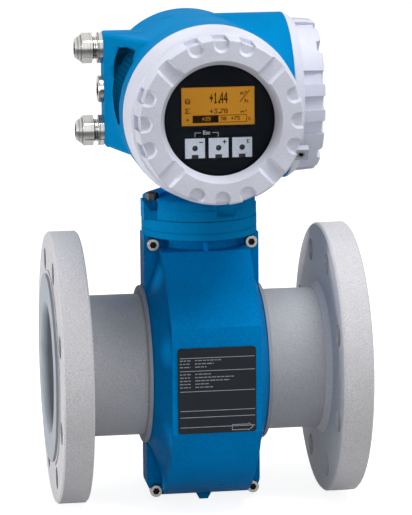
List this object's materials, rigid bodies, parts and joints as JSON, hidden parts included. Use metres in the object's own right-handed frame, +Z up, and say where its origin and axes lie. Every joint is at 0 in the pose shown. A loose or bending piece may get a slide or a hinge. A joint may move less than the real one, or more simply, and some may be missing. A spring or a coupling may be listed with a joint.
{
  "type": "electromagnetic flow meter",
  "caption": "Flanged electromagnetic flow meter: lined steel tube in a blue cast sensor shell, with a two-chamber transmitter that has a round display, a side cover and cable glands.",
  "frame": {"origin": "middle of the measuring bore, on the pipe's axis", "axes": "+X along the pipe in the direction of flow, display towards -Y, +Z up along the neck"},
  "size_m": [0.25, 0.2376, 0.3948],
  "materials": {
    "tube_steel": "blasted",
    "flange_steel": "satin",
    "liner": "satin",
    "alloy": "polished",
    "insulation": "matte",
    "magnet_iron": "dull",
    "copper": "enamelled",
    "blue_paint": "semi-gloss paint",
    "light_paint": "satin paint",
    "screws": "bright",
    "dark_screw": "blackened",
    "seal_grey": "matte",
    "seal_black": "matte",
    "plate": "satin",
    "nickel": "nickel plated",
    "glass": "clear",
    "ring": "matte",
    "display_black": "satin",
    "lcd": "backlit amber",
    "keys": "printed",
    "module_plastic": "matte",
    "terminal_green": "matte"
  },
  "bodies": {
    "sensor": {"measuring_tube": "tube_steel", "inlet_flange": "flange_steel", "outlet_flange": "flange_steel", "tube_liner": "liner", "inlet_liner_face": "liner", "outlet_liner_face": "liner", "front_electrode": "alloy", "front_electrode_bush": "insulation", "front_electrode_nut": "alloy", "back_electrode": "alloy", "back_electrode_bush": "insulation", "back_electrode_nut": "alloy", "upper_pole": "magnet_iron", "upper_coil": "copper", "lower_pole": "magnet_iron", "lower_coil": "copper", "field_yoke": "magnet_iron", "front_shell": "blue_paint", "back_shell": "blue_paint", "shell_screws": "screws", "inlet_seal": "seal_grey", "outlet_seal": "seal_grey", "nameplate": "plate", "neck_ring": "blue_paint", "neck_seal": "seal_black"},
    "transmitter": {"electronics_housing": "blue_paint", "electronics_module": "module_plastic", "lower_gland": "nickel", "upper_gland": "nickel", "blanking_plug": "nickel", "cover_clamp": "light_paint", "cover_clamp_screw": "screws", "turn_lock_screw": "dark_screw", "terminal_carrier": "module_plastic", "terminal_block": "terminal_green", "terminal_screws": "screws"},
    "display": {"display_frame": "display_black", "lcd_panel": "lcd", "left_key": "keys", "middle_key": "keys", "right_key": "keys"},
    "display_cover_seal": {"display_cover_seal": "seal_black"},
    "display_cover": {"display_cover": "light_paint", "cover_glass": "glass", "glass_ring": "ring"},
    "connection_cover_seal": {"connection_cover_seal": "seal_black"},
    "connection_cover": {"connection_cover": "light_paint"},
    "lower_gland_seal": {"lower_gland_seal": "seal_black"},
    "lower_gland_nut": {"lower_gland_nut": "nickel"},
    "upper_gland_seal": {"upper_gland_seal": "seal_black"},
    "upper_gland_nut": {"upper_gland_nut": "nickel"}
  },
  "joints": [
    {"name": "transmitter_turn", "type": "hinge", "parent": "sensor", "child": "transmitter", "pos_m": [0, 0, 0.1229], "axis": [0, 0, 1], "range_deg": [-175, 175]},
    {"name": "display_turn", "type": "hinge", "parent": "transmitter", "child": "display", "pos_m": [0, -0.1, 0.213], "axis": [0, -1, 0], "range_deg": [-180, 180]},
    {"name": "display_cover_travel", "type": "slide", "parent": "transmitter", "child": "display_cover_seal", "axis": [0, -1, 0], "range_m": [0, 0.01402]},
    {"name": "display_cover_turn", "type": "hinge", "parent": "display_cover_seal", "child": "display_cover", "pos_m": [0, -0.1, 0.213], "axis": [0, -1, 0], "range_deg": [0, 2520]},
    {"name": "connection_cover_travel", "type": "slide", "parent": "transmitter", "child": "connection_cover_seal", "axis": [1, 0, 0], "range_m": [0, 0.01402]},
    {"name": "connection_cover_turn", "type": "hinge", "parent": "connection_cover_seal", "child": "connection_cover", "pos_m": [0.08, 0.03, 0.213], "axis": [1, 0, 0], "range_deg": [0, 2520]},
    {"name": "lower_gland_nut_travel", "type": "slide", "parent": "transmitter", "child": "lower_gland_seal", "axis": [-1, 0, 0], "range_m": [0, 0.00602]},
    {"name": "lower_gland_nut_turn", "type": "hinge", "parent": "lower_gland_seal", "child": "lower_gland_nut", "pos_m": [-0.085, 0.03, 0.1883], "axis": [-1, 0, 0], "range_deg": [0, 1440]},
    {"name": "upper_gland_nut_travel", "type": "slide", "parent": "transmitter", "child": "upper_gland_seal", "axis": [-1, 0, 0], "range_m": [0, 0.00602]},
    {"name": "upper_gland_nut_turn", "type": "hinge", "parent": "upper_gland_seal", "child": "upper_gland_nut", "pos_m": [-0.085, 0.03, 0.2549], "axis": [-1, 0, 0], "range_deg": [0, 1440]}
  ],
  "couplings": [
    {"joint": "display_cover_travel", "follows": "display_cover_turn", "m_per_rad": 0.00031831},
    {"joint": "connection_cover_travel", "follows": "connection_cover_turn", "m_per_rad": 0.00031831},
    {"joint": "lower_gland_nut_travel", "follows": "lower_gland_nut_turn", "m_per_rad": 0.00023873},
    {"joint": "upper_gland_nut_travel", "follows": "upper_gland_nut_turn", "m_per_rad": 0.00023873}
  ]
}
